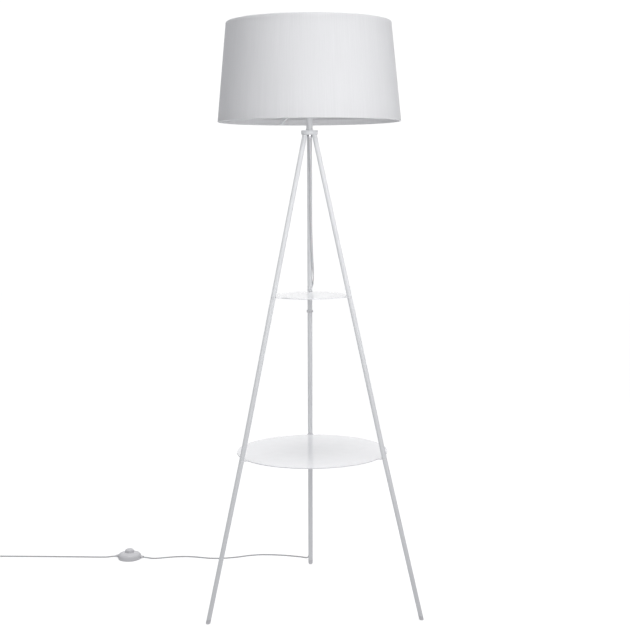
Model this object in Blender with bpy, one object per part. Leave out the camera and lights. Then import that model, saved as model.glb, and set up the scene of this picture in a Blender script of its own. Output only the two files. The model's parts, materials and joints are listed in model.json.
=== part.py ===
"""Tripod floor lamp: three jointed legs, two round shelves, a drum shade, and a lead with a foot switch.

Metres, +Z up, standing on z = 0. The origin is the middle of the lamp's footprint, and the
lamp's own vertical axis passes AXIS_Y from it, because one leg points straight back (+Y).
"""

import math

import bmesh
import bpy
from mathutils import Vector

# ---- driving dimensions, in metres ------------------------------------------------------------
AXIS_Y = -0.0411
GAP = 0.0003

LEG_ANGLES = {"rear": 90.0, "left": 210.0, "right": 330.0}
TUBE_R = 0.0060
TUBE_BORE_R = 0.0050
INSERT_BORE_R = 0.0033
INSERT_LENGTH = 0.014
STUD_R = 0.0029
STUD_REACH = 0.013
FOOT_RING_R = 0.302
FOOT_TOP_Z = 0.0112
LOWER_SHELF_Z = 0.394
LOWER_LEG_R = 0.202
LOWER_DISC_R = 0.190
UPPER_SHELF_Z = 0.789
UPPER_LEG_R = 0.108
UPPER_DISC_R = 0.092
SHELF_SHEET = 0.0025
TAB_R = 0.0082
HUB_BOTTOM_Z = 1.185
HUB_TOP_Z = 1.1955
HUB_R = 0.0205
HUB_LEG_R = 0.0132
HUB_BORE_R = 0.0053

NECK_R = 0.0075
NECK_TOP_Z = 1.240
COLLAR_R = 0.0084
COLLAR_HEIGHT = 0.0044
NIPPLE_R = 0.0050
NIPPLE_BORE_R = 0.0039
NIPPLE_LOW_Z = 1.1808
NIPPLE_TOP_Z = 1.2478
NUT_R = 0.0064
BUSH_LOW_Z = 1.1735
BUSH_TOP_Z = 1.1960
BUSH_BORE_R = 0.0029
BUSH_TAIL_R = 0.0036
BUSH_FLANGE_R = 0.0060
HOLDER_Z = NECK_TOP_Z + GAP
HOLDER_R = 0.0190
HOLDER_WALL = 0.0012
HOLDER_THROAT_R = 0.0090
CAP_HEIGHT = 0.0200
SHELL_HEIGHT = 0.0350
SHELL_THREAD_R = 0.0192
SHELL_LIP_R = 0.0215
SHELL_MOUTH_R = 0.0152
CORE_LOW_Z = 1.2520
CORE_SEAT_Z = 1.2620
CORE_TOP_Z = 1.2850
CORE_R = 0.0172
CORE_BORE_R = 0.0030
SLEEVE_R = 0.0146
SLEEVE_TOP_Z = 1.2900
CLAMP_R = 0.0262
CLAMP_BORE_R = 0.0196
FITTER_Z = 1.2718
FITTER_R = 0.0280
FITTER_BORE_R = 0.0204
FITTER_THICK = 0.0020

SHADE_BOTTOM_Z = 1.216
SHADE_TOP_Z = 1.4553
SHADE_BOTTOM_R = 0.225
SHADE_TOP_R = 0.2014
SHADE_SKIN = 0.0010
RING_WIRE_R = 0.0020
ARM_WIRE_R = 0.0015
ARM_ANGLES = {"back": 108.1, "front": 228.1, "side": 348.1}

BULB_R = 0.030
BULB_TOP_Z = 1.385

CORD_R = 0.0026
CLIP_Z = 0.735
CLIP_HEIGHT = 0.0038
CLIP_WALL = 0.0020
CORD_OFF_LEG = 0.0090

SWITCH_PLACE = (-0.5160, 0.3790)
SWITCH_TURN = math.radians(-9.8)
SWITCH_R = 0.0325
SWITCH_BASE_TOP_Z = 0.0020
SWITCH_TOP_Z = 0.0190
BUTTON_R = 0.0122
BUTTON_TOP_Z = 0.0284
BUTTON_FLANGE_R = 0.0140
BUTTON_FLANGE_LOW_Z = 0.0145
BUTTON_FLANGE_TOP_Z = 0.0164
BUTTON_BORE_R = 0.0072
CONTACTS_TOP_Z = 0.0070
GROMMET_Z = 0.0062
GROMMET_R = 0.0039
GROMMET_FLANGE_R = 0.0050
GROMMET_START = 0.0150
GROMMET_END = 0.0410

COIL_PLACE = (-0.965, 0.3875)
COIL_R = 0.029
COIL_HALF = 0.0053
COIL_LOW_Z = 0.0013
COIL_TOP_Z = 0.0112
PLUG_PLACE = (-1.0032, 0.3830)
PLUG_AXIS_Z = 0.0070
PLUG_LENGTH = 0.0542
PIN_SPREAD = 0.0095
PIN_R = 0.0020
PIN_LENGTH = 0.0190

SIDES = 24
TUBE_SIDES = 20
SHADE_SIDES = 72

# ---- the leads' routes, in metres from the lamp's axis ----------------------------------------
LAMP_CORD_ROUTE = [
    (0.0000, 0.0000, 1.1732), (0.0012, 0.0035, 1.1520), (0.0030, 0.0150, 1.1080),
    (0.0034, 0.0385, 1.0200), (0.0036, 0.0545, 0.9620), (0.0052, 0.0692, 0.9050),
    (0.0066, 0.0782, 0.8720), (0.0082, 0.0888, 0.8470), (0.0091, 0.1002, 0.8220),
    (0.0074, 0.1090, 0.8080), (0.0042, 0.1143, 0.7980), (0.0014, 0.1177, 0.7890),
    (0.0002, 0.1209, 0.7750), (0.0000, 0.1243, 0.7600), (0.0000, 0.1301, 0.7350),
    (0.0000, 0.1326, 0.7250), (0.0000, 0.1390, 0.7000), (0.0000, 0.1630, 0.6000),
    (0.0000, 0.2080, 0.4100), (0.0000, 0.2120, 0.3940), (0.0000, 0.2182, 0.3700),
    (0.0000, 0.2612, 0.2000), (0.0000, 0.2890, 0.0900), (-0.0006, 0.3055, 0.0480),
    (-0.0025, 0.3235, 0.0210), (-0.0062, 0.3400, 0.0078), (-0.0140, 0.3530, 0.0034),
    (-0.0280, 0.3622, 0.0027), (-0.0560, 0.3725, 0.0027), (-0.0860, 0.3812, 0.0027),
    (-0.1150, 0.3862, 0.0027), (-0.1436, 0.3878, 0.0027), (-0.1722, 0.3827, 0.0027),
    (-0.2006, 0.3722, 0.0027), (-0.2280, 0.3642, 0.0027), (-0.2570, 0.3608, 0.0027),
    (-0.2857, 0.3632, 0.0027), (-0.3150, 0.3728, 0.0027), (-0.3442, 0.3812, 0.0027),
    (-0.3729, 0.3830, 0.0027), (-0.3980, 0.3802, 0.0027), (-0.4170, 0.3757, 0.0027),
    (-0.4320, 0.3720, 0.0027), (-0.4445, 0.3701, 0.0029), (-0.4555, 0.3697, 0.0038),
    (-0.4655, 0.3705, 0.0054), (-0.4753, 0.3720, 0.0062),
]
PLUG_CORD_ROUTE = [
    (-0.5567, 0.3860, 0.0062), (-0.5665, 0.3876, 0.0054), (-0.5770, 0.3892, 0.0037),
    (-0.5900, 0.3908, 0.0028), (-0.6605, 0.3970, 0.0027), (-0.7185, 0.4020, 0.0027),
    (-0.7765, 0.4070, 0.0027), (-0.8347, 0.4117, 0.0027), (-0.8928, 0.4162, 0.0027),
    (-0.9220, 0.4190, 0.0028), (-0.9462, 0.4200, 0.0030),
]


# ---- building helpers -------------------------------------------------------------------------
def clear_scene():
    for item in list(bpy.data.objects):
        bpy.data.objects.remove(item, do_unlink=True)


def look(name, colour, roughness, metallic=0.0):
    """A plain Principled material, made once for each object that asks for it."""
    material = bpy.data.materials.new(name)
    material.use_nodes = True
    shader = material.node_tree.nodes["Principled BSDF"]
    shader.inputs["Base Color"].default_value = (*colour, 1.0)
    shader.inputs["Roughness"].default_value = roughness
    shader.inputs["Metallic"].default_value = metallic
    material.diffuse_color = (*colour, 1.0)
    return material


def painted(name):
    return look(name, (0.86, 0.87, 0.88), 0.42)


def steel(name):
    return look(name, (0.62, 0.62, 0.63), 0.35, 1.0)


def brass(name):
    return look(name, (0.78, 0.62, 0.34), 0.33, 1.0)


def plastic(name):
    return look(name, (0.80, 0.81, 0.82), 0.45)


def cord_look(name):
    return look(name, (0.80, 0.80, 0.81), 0.55)


def empty(name, place, turn_z=0.0, parent=None):
    frame = bpy.data.objects.new(name, None)
    bpy.context.scene.collection.objects.link(frame)
    frame.location = place
    frame.rotation_euler = (0.0, 0.0, turn_z)
    frame.parent = parent
    return frame


def add(name, mesh, material, parent, place=(0.0, 0.0, 0.0), turn=(0.0, 0.0, 0.0)):
    body = bpy.data.objects.new(name, mesh)
    bpy.context.scene.collection.objects.link(body)
    body.parent = parent
    body.location = place
    body.rotation_euler = turn
    if material is not None:
        mesh.materials.append(material)
    return body


def mesh_from(name, bm):
    bmesh.ops.recalc_face_normals(bm, faces=bm.faces[:])
    mesh = bpy.data.meshes.new(name)
    bm.to_mesh(mesh)
    bm.free()
    mesh.shade_smooth()
    mesh.set_sharp_from_angle(angle=math.radians(32.0))
    return mesh


def bridged(name, rings, looped):
    """Rings of points joined one to the next: looped rows close on themselves, others get end caps."""
    bm = bmesh.new()
    rows = [[bm.verts.new(point) for point in ring] for ring in rings]
    spans = len(rows) if looped else len(rows) - 1
    for i in range(spans):
        here, there = rows[i], rows[(i + 1) % len(rows)]
        for j in range(len(here)):
            k = (j + 1) % len(here)
            bm.faces.new((here[j], here[k], there[k], there[j]))
    if not looped:
        bm.faces.new(rows[0])
        bm.faces.new(rows[-1])
    return mesh_from(name, bm)


def circle(radius, z, sides=SIDES):
    steps = [math.tau * i / sides for i in range(sides)]
    return [(radius * math.cos(t), radius * math.sin(t), z) for t in steps]


def turned(name, outline, looped=False, sides=SIDES):
    """A body turned about Z from (radius, height) pairs; a looped outline leaves a hole through it."""
    return bridged(name, [circle(r, z, sides) for r, z in outline], looped)


def prism(name, outline, low, high):
    bm = bmesh.new()
    base = bm.faces.new([bm.verts.new((x, y, low)) for x, y in outline])
    raised = bmesh.ops.extrude_face_region(bm, geom=[base])
    tops = [item for item in raised["geom"] if isinstance(item, bmesh.types.BMVert)]
    bmesh.ops.translate(bm, vec=(0.0, 0.0, high - low), verts=tops)
    return mesh_from(name, bm)


def torus(name, ring_r, wire_r, z, sides, wire_sides=6):
    steps = [math.tau * i / wire_sides for i in range(wire_sides)]
    outline = [(ring_r + wire_r * math.cos(t), z + wire_r * math.sin(t)) for t in steps]
    return turned(name, outline, looped=True, sides=sides)


def slanted_ring(centre, slope, radius, level, sides=TUBE_SIDES):
    """A section of a round bar that leans along +X by slope: cut level, or square to the bar."""
    lean = math.atan(slope)
    steps = [math.tau * i / sides for i in range(sides)]
    if level:
        wide = radius / math.cos(lean)
        return [(centre[0] + wide * math.cos(t), radius * math.sin(t), centre[1]) for t in steps]
    return [
        (
            centre[0] + radius * math.cos(t) * math.cos(lean),
            radius * math.sin(t),
            centre[1] + radius * math.cos(t) * math.sin(lean),
        )
        for t in steps
    ]


def cut(body, cutter):
    """A hidden cutter taken out of a body."""
    cutter.hide_render = True
    cutter.display_type = "WIRE"
    hole = body.modifiers.new(cutter.name, "BOOLEAN")
    hole.operation = "DIFFERENCE"
    hole.solver = "EXACT"
    hole.object = cutter


def smooth_points(route, finest, bend_step):
    """Points read from a smooth curve through a route, closer together where it bends."""
    spots = [Vector(point) for point in route]
    ends = [spots[0] * 2 - spots[1]] + spots + [spots[-1] * 2 - spots[-2]]
    found = [spots[0]]
    for i in range(1, len(ends) - 2):
        before, start, stop, after = ends[i - 1 : i + 3]
        knots = [0.0]
        for a, b in ((before, start), (start, stop), (stop, after)):
            knots.append(knots[-1] + math.sqrt((b - a).length))
        turn = (start - before).angle(stop - start) + (stop - start).angle(after - stop)
        pieces = max(1, math.ceil(turn / 2 / bend_step), math.ceil((stop - start).length / finest))
        for step in range(1, pieces + 1):
            t = knots[1] + (knots[2] - knots[1]) * step / pieces
            found.append(curve_point((before, start, stop, after), knots, t))
    return found


def curve_point(four, knots, t):
    """One point of the centripetal curve through four neighbours."""

    def mix(a, b, low, high):
        return a * ((high - t) / (high - low)) + b * ((t - low) / (high - low))

    first = [mix(four[i], four[i + 1], knots[i], knots[i + 1]) for i in range(3)]
    second = [mix(first[i], first[i + 1], knots[i], knots[i + 2]) for i in range(2)]
    return mix(second[0], second[1], knots[1], knots[2])


def cord_tube(name, points, parent):
    data = bpy.data.curves.new(name, "CURVE")
    data.dimensions = "3D"
    data.bevel_depth = CORD_R
    data.bevel_resolution = 2
    data.use_fill_caps = True
    line = data.splines.new("POLY")
    line.points.add(len(points) - 1)
    for knot, point in zip(line.points, points):
        knot.co = (*point, 1.0)
    tube = bpy.data.objects.new(name, data)
    bpy.context.scene.collection.objects.link(tube)
    tube.parent = parent
    data.materials.append(cord_look(name))
    return tube


# ---- tripod -----------------------------------------------------------------------------------
UPPER_SLOPE = (HUB_LEG_R - UPPER_LEG_R) / (HUB_BOTTOM_Z - UPPER_SHELF_Z)
MIDDLE_SLOPE = (UPPER_LEG_R - LOWER_LEG_R) / (UPPER_SHELF_Z - LOWER_SHELF_Z)
LOWER_SLOPE = (LOWER_LEG_R - FOOT_RING_R) / LOWER_SHELF_Z


def leg_tube(name, low, high, slope, parent, foot_end=False):
    """One tube of a leg, with a threaded insert at each joint; its ends are cut level."""
    base = low[0] - slope * low[1]

    def at(z, radius, level):
        return slanted_ring((base + slope * z, z), slope, radius, level)

    z_low, z_high = low[1], high[1]
    rings = [
        at(z_low, TUBE_R, not foot_end),
        at(z_high, TUBE_R, True),
        at(z_high, INSERT_BORE_R, True),
        at(z_high - INSERT_LENGTH, INSERT_BORE_R, False),
        at(z_high - INSERT_LENGTH, TUBE_BORE_R, False),
    ]
    if foot_end:
        rings.append(at(z_low, TUBE_BORE_R, False))
    else:
        rings.append(at(z_low + INSERT_LENGTH, TUBE_BORE_R, False))
        rings.append(at(z_low + INSERT_LENGTH, INSERT_BORE_R, False))
        rings.append(at(z_low, INSERT_BORE_R, True))
    return add(name, bridged(name, rings, looped=True), painted(name), parent)


def stud(name, radius_at, z, slope, low_reach, high_reach, parent):
    """A threaded stud that holds two pieces of a leg together, with chamfered ends."""
    base = radius_at - slope * z
    heights = [z - low_reach, z - low_reach + 0.0008, z + high_reach - 0.0008, z + high_reach]
    radii = [STUD_R - 0.0006, STUD_R, STUD_R, STUD_R - 0.0006]
    rings = [
        slanted_ring((base + slope * h, h), slope, r, level=False, sides=12)
        for h, r in zip(heights, radii)
    ]
    return add(name, bridged(name, rings, looped=False), steel(name), parent)


def foot(name, parent):
    """A glide that plugs into the tube, rounded, with a level flat to stand on."""

    def at(z, radius, level):
        return slanted_ring((FOOT_RING_R + LOWER_SLOPE * z, z), LOWER_SLOPE, radius, level)

    rings = [
        at(FOOT_TOP_Z + 0.0160, 0.0040, False),
        at(FOOT_TOP_Z + 0.0145, 0.0047, False),
        at(FOOT_TOP_Z, 0.0047, False),
        at(FOOT_TOP_Z, TUBE_R, False),
        at(0.0058, TUBE_R, False),
        at(0.0022, 0.0056, True),
        at(0.0007, 0.0048, True),
        at(0.0000, 0.0038, True),
    ]
    return add(name, bridged(name, rings, looped=False), plastic(name), parent)


def shelf_outline(disc_r, leg_r, fillet_r=0.004):
    """A disc with three round-ended tabs that reach the legs, the first tab along +X."""
    side = TAB_R + fillet_r
    tab_centre = leg_r + TUBE_R - TAB_R
    along = math.sqrt((disc_r + fillet_r) ** 2 - side**2)
    start = math.atan2(side, along)
    tab_end = [math.radians(-90.0 + 22.5 * i) for i in range(9)]
    third = [(tab_centre + TAB_R * math.cos(t), TAB_R * math.sin(t)) for t in tab_end]
    bend = [-math.pi / 2 - (math.pi / 2 - start) * i / 4 for i in range(1, 4)]
    fillet = [(along + fillet_r * math.cos(t), side + fillet_r * math.sin(t)) for t in bend]
    third += [(along, TAB_R)] + fillet
    rim = [start + (math.tau / 3 - 2 * start) * i / 18 for i in range(19)]
    third += [(disc_r * math.cos(t), disc_r * math.sin(t)) for t in rim]
    mirrored = [(x, -y) for x, y in reversed(fillet)] + [(along, -TAB_R)]
    points = []
    for k in range(3):
        turn = math.tau * k / 3
        ahead = turn + math.tau / 3
        points += [turned_by(point, turn) for point in third]
        points += [turned_by(point, ahead) for point in mirrored]
    return points


def turned_by(point, angle):
    x, y = point
    return (x * math.cos(angle) - y * math.sin(angle), x * math.sin(angle) + y * math.cos(angle))


def shelf(name, disc_r, leg_r, top_z, slope, lamp, leg_frames):
    outline = shelf_outline(disc_r, leg_r)
    mesh = prism(name, outline, top_z - SHELF_SHEET, top_z)
    plate = add(name, mesh, painted(name), lamp, turn=(0.0, 0.0, math.radians(90.0)))
    for side, frame in leg_frames.items():
        base = leg_r - slope * top_z
        rings = [
            slanted_ring((base + slope * h, h), slope, INSERT_BORE_R, level=True, sides=16)
            for h in (top_z - 0.006, top_z + 0.004)
        ]
        cutter = add(f"cut_{name}_{side}", bridged(f"cut_{name}_{side}", rings, False), None, frame)
        cut(plate, cutter)
    return plate


def hub(lamp, leg_frames):
    outline = [
        (HUB_BORE_R, HUB_BOTTOM_Z),
        (HUB_R - 0.0018, HUB_BOTTOM_Z),
        (HUB_R - 0.0005, HUB_BOTTOM_Z + 0.0006),
        (HUB_R, HUB_BOTTOM_Z + 0.0018),
        (HUB_R, HUB_TOP_Z - 0.0006),
        (HUB_R - 0.0006, HUB_TOP_Z),
        (HUB_BORE_R, HUB_TOP_Z),
    ]
    disc = add("hub", turned("hub", outline, looped=True, sides=32), painted("hub"), lamp)
    for side, frame in leg_frames.items():
        base = HUB_LEG_R - UPPER_SLOPE * HUB_BOTTOM_Z
        rings = [
            slanted_ring((base + UPPER_SLOPE * h, h), UPPER_SLOPE, INSERT_BORE_R, level=True, sides=16)
            for h in (HUB_BOTTOM_Z - 0.006, HUB_TOP_Z - 0.0025)
        ]
        name = f"cut_hub_{side}"
        cut(disc, add(name, bridged(name, rings, looped=False), None, frame))


def tripod(lamp):
    leg_frames = {
        side: empty(f"leg_frame_{side}", (0.0, 0.0, 0.0), math.radians(angle), lamp)
        for side, angle in LEG_ANGLES.items()
    }
    kink_slope = (MIDDLE_SLOPE + LOWER_SLOPE) / 2
    for side, frame in leg_frames.items():
        foot(f"foot_{side}", frame)
        tube_low = FOOT_TOP_Z + GAP
        leg_tube(
            f"leg_lower_{side}",
            (FOOT_RING_R + LOWER_SLOPE * tube_low, tube_low),
            (0.0, LOWER_SHELF_Z - SHELF_SHEET - GAP),
            LOWER_SLOPE,
            frame,
            foot_end=True,
        )
        middle_low = LOWER_SHELF_Z + GAP
        leg_tube(
            f"leg_middle_{side}",
            (LOWER_LEG_R + MIDDLE_SLOPE * GAP, middle_low),
            (0.0, UPPER_SHELF_Z - SHELF_SHEET - GAP),
            MIDDLE_SLOPE,
            frame,
        )
        upper_low = UPPER_SHELF_Z + GAP
        leg_tube(
            f"leg_upper_{side}",
            (UPPER_LEG_R + UPPER_SLOPE * GAP, upper_low),
            (0.0, HUB_BOTTOM_Z - GAP),
            UPPER_SLOPE,
            frame,
        )
        reach = STUD_REACH
        stud(f"stud_lower_shelf_{side}", LOWER_LEG_R, LOWER_SHELF_Z, kink_slope, reach, reach, frame)
        stud(f"stud_upper_shelf_{side}", UPPER_LEG_R, UPPER_SHELF_Z, UPPER_SLOPE, reach, reach, frame)
        stud(f"stud_hub_{side}", HUB_LEG_R, HUB_BOTTOM_Z, UPPER_SLOPE, reach, 0.0062, frame)
    shelf("shelf_lower", LOWER_DISC_R, LOWER_LEG_R, LOWER_SHELF_Z, kink_slope, lamp, leg_frames)
    shelf("shelf_upper", UPPER_DISC_R, UPPER_LEG_R, UPPER_SHELF_Z, UPPER_SLOPE, lamp, leg_frames)
    hub(lamp, leg_frames)
    return leg_frames


def cord_clip(frame):
    """A plastic loop square to the rear leg, round the tube and the lead behind it."""

    def loop(leg_r, cord_r, height):
        steps = [math.tau * i / SIDES for i in range(SIDES)]
        tangent = math.acos((leg_r - cord_r) / CORD_OFF_LEG)
        points = []
        for t in steps:
            turn = math.remainder(t, math.tau)
            if abs(turn) < tangent:
                points.append((CORD_OFF_LEG + cord_r * math.cos(t), cord_r * math.sin(t), height))
            else:
                points.append((leg_r * math.cos(t), leg_r * math.sin(t), height))
        return points

    inner = (TUBE_R + GAP, CORD_R + 3 * GAP)
    outer = (inner[0] + CLIP_WALL, inner[1] + CLIP_WALL)
    half = CLIP_HEIGHT / 2
    rings = [loop(*outer, -half), loop(*outer, half), loop(*inner, half), loop(*inner, -half)]
    radius = UPPER_LEG_R + MIDDLE_SLOPE * (CLIP_Z - UPPER_SHELF_Z)
    lean = math.atan(MIDDLE_SLOPE)
    mesh = bridged("cord_clip", rings, looped=True)
    add("cord_clip", mesh, plastic("cord_clip"), frame, (radius, 0.0, CLIP_Z), (0.0, lean, 0.0))


# ---- neck and lampholder ----------------------------------------------------------------------
def tube_outline(inner, outer, low, high):
    return [(inner, low), (outer, low), (outer, high), (inner, high)]


def neck(lamp):
    z = HUB_TOP_Z + GAP
    flange_z = NIPPLE_LOW_Z - GAP
    pieces = {
        "neck_tube": (tube_outline(HUB_BORE_R, NECK_R, z, NECK_TOP_Z), painted),
        "neck_collar": (
            [
                (NECK_R + GAP, z),
                (COLLAR_R, z),
                (COLLAR_R, z + COLLAR_HEIGHT - 0.0008),
                (COLLAR_R - 0.0005, z + COLLAR_HEIGHT),
                (NECK_R + GAP, z + COLLAR_HEIGHT),
            ],
            painted,
        ),
        "threaded_nipple": (tube_outline(NIPPLE_BORE_R, NIPPLE_R, NIPPLE_LOW_Z, NIPPLE_TOP_Z), steel),
        "hub_nut": (tube_outline(HUB_BORE_R, NUT_R, NIPPLE_LOW_Z, HUB_BOTTOM_Z - GAP), steel),
        "cord_bush": (
            [
                (BUSH_BORE_R, BUSH_LOW_Z),
                (BUSH_TAIL_R, BUSH_LOW_Z),
                (BUSH_TAIL_R + 0.0008, flange_z - 0.0030),
                (BUSH_FLANGE_R, flange_z - 0.0030),
                (BUSH_FLANGE_R, flange_z),
                (BUSH_TAIL_R, flange_z),
                (BUSH_TAIL_R, BUSH_TOP_Z),
                (BUSH_BORE_R, BUSH_TOP_Z),
            ],
            plastic,
        ),
    }
    for name, (outline, finish) in pieces.items():
        add(name, turned(name, outline, looped=True), finish(name), lamp)


def lampholder(lamp):
    z = HOLDER_Z
    outside, inside = HOLDER_R, HOLDER_R - HOLDER_WALL
    cap_top = z + CAP_HEIGHT
    cap = [
        (HUB_BORE_R, z),
        (HOLDER_THROAT_R, z),
        (outside - 0.0035, z + 0.0030),
        (outside, z + 0.0085),
        (outside, cap_top),
        (inside, cap_top),
        (inside, z + 0.0090),
        (outside - 0.0042, z + 0.0045),
        (HOLDER_THROAT_R, z + 0.0016),
        (HUB_BORE_R, z + 0.0016),
    ]
    low = cap_top + GAP
    high = low + SHELL_HEIGHT
    shell = [
        (inside, low),
        (outside, low),
        (outside, low + 0.0030),
        (SHELL_LIP_R, low + 0.0036),
        (SHELL_LIP_R, low + 0.0062),
        (SHELL_THREAD_R, low + 0.0066),
        (SHELL_THREAD_R, high),
        (SHELL_MOUTH_R, high),
        (SHELL_MOUTH_R, high - 0.0016),
        (inside, high - 0.0016),
    ]
    core = [
        (CORE_BORE_R, CORE_LOW_Z),
        (CORE_R, CORE_LOW_Z),
        (CORE_R, CORE_TOP_Z),
        (SLEEVE_R + GAP, CORE_TOP_Z),
        (SLEEVE_R + GAP, CORE_SEAT_Z),
        (CORE_BORE_R, CORE_SEAT_Z),
    ]
    seat = CORE_SEAT_Z + GAP
    sleeve = tube_outline(SLEEVE_R - 0.0007, SLEEVE_R, seat, SLEEVE_TOP_Z)
    leaf = [(0.0034, seat), (0.0034, seat + 0.0022), (0.0024, seat + 0.0029)]
    add("lampholder_cap", turned("lampholder_cap", cap, True), plastic("lampholder_cap"), lamp)
    add("lampholder_shell", turned("lampholder_shell", shell, True), plastic("lampholder_shell"), lamp)
    porcelain = look("lampholder_core", (0.88, 0.87, 0.84), 0.35)
    add("lampholder_core", turned("lampholder_core", core, True), porcelain, lamp)
    add("lampholder_sleeve", turned("lampholder_sleeve", sleeve, True), brass("lampholder_sleeve"), lamp)
    contact = turned("lampholder_contact", leaf, sides=12)
    add("lampholder_contact", contact, brass("lampholder_contact"), lamp)


def shade_clamps(lamp):
    low = tube_outline(CLAMP_BORE_R, CLAMP_R, FITTER_Z - 0.0041, FITTER_Z - GAP)
    above = FITTER_Z + FITTER_THICK + GAP
    high = [
        (CLAMP_BORE_R, above),
        (CLAMP_R, above),
        (CLAMP_R, above + 0.0045),
        (CLAMP_R - 0.0010, above + 0.0058),
        (CLAMP_BORE_R, above + 0.0058),
    ]
    add("shade_clamp_lower", turned("shade_clamp_lower", low, True), plastic("shade_clamp_lower"), lamp)
    add("shade_clamp_upper", turned("shade_clamp_upper", high, True), plastic("shade_clamp_upper"), lamp)


# ---- shade ------------------------------------------------------------------------------------
def shade_radius(z):
    """The outside of the skin at a height."""
    share = (z - SHADE_BOTTOM_Z) / (SHADE_TOP_Z - SHADE_BOTTOM_Z)
    return SHADE_BOTTOM_R + (SHADE_TOP_R - SHADE_BOTTOM_R) * share


def shade(lamp):
    outline = [
        (SHADE_BOTTOM_R - SHADE_SKIN, SHADE_BOTTOM_Z),
        (SHADE_BOTTOM_R, SHADE_BOTTOM_Z),
        (SHADE_TOP_R, SHADE_TOP_Z),
        (SHADE_TOP_R - SHADE_SKIN, SHADE_TOP_Z),
    ]
    fabric = look("shade_skin", (0.90, 0.90, 0.89), 0.85)
    add("shade_skin", turned("shade_skin", outline, looped=True, sides=SHADE_SIDES), fabric, lamp)
    wire_heights = {
        "shade_ring_bottom": SHADE_BOTTOM_Z + 0.0026,
        "shade_ring_top": SHADE_TOP_Z - 0.0026,
    }
    inset = SHADE_SKIN + RING_WIRE_R + GAP + 0.0002
    for name, z in wire_heights.items():
        mesh = torus(name, shade_radius(z) - inset, RING_WIRE_R, z, SHADE_SIDES)
        add(name, mesh, painted(name), lamp)
    outline = tube_outline(FITTER_BORE_R, FITTER_R, FITTER_Z, FITTER_Z + FITTER_THICK)
    fitter = turned("shade_fitter_ring", outline, looped=True, sides=32)
    add("shade_fitter_ring", fitter, painted("shade_fitter_ring"), lamp)

    ring_z = wire_heights["shade_ring_bottom"]
    outer_r = shade_radius(ring_z) - inset - RING_WIRE_R - 0.0008
    start = Vector((FITTER_R + 0.0008, 0.0, FITTER_Z + 0.0010))
    stop = Vector((outer_r, 0.0, ring_z + 0.0012))
    for side, angle in ARM_ANGLES.items():
        name = f"shade_arm_{side}"
        length = (stop - start).length
        wire = turned(name, [(ARM_WIRE_R, 0.0), (ARM_WIRE_R, length)], sides=10)
        frame = empty(f"arm_frame_{side}", (0.0, 0.0, 0.0), math.radians(angle), lamp)
        tilt = math.atan2(stop.x - start.x, stop.z - start.z)
        add(name, wire, painted(name), frame, start, (0.0, tilt, 0.0))


def bulb(lamp):
    """An opal bulb on a screw cap; both pieces turn about the lamp's axis."""
    cap = [(0.0038, 1.2655), (0.0060, 1.2680), (0.0120, 1.2705), (0.0132, 1.2720), (0.0132, 1.2895)]
    centre_z = BULB_TOP_Z - BULB_R
    steps = [math.radians(-57.0 + 12.25 * i) for i in range(13)]
    dome = [(BULB_R * math.cos(t), centre_z + BULB_R * math.sin(t)) for t in steps]
    globe = [(0.0128, 1.2898), (0.0134, 1.2980), (0.0146, 1.3140), *dome[1:-1], (0.0018, BULB_TOP_Z)]
    add("bulb_cap", turned("bulb_cap", cap), steel("bulb_cap"), lamp)
    opal = look("bulb_globe", (0.93, 0.93, 0.91), 0.30)
    add("bulb_globe", turned("bulb_globe", globe, sides=28), opal, lamp)


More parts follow.
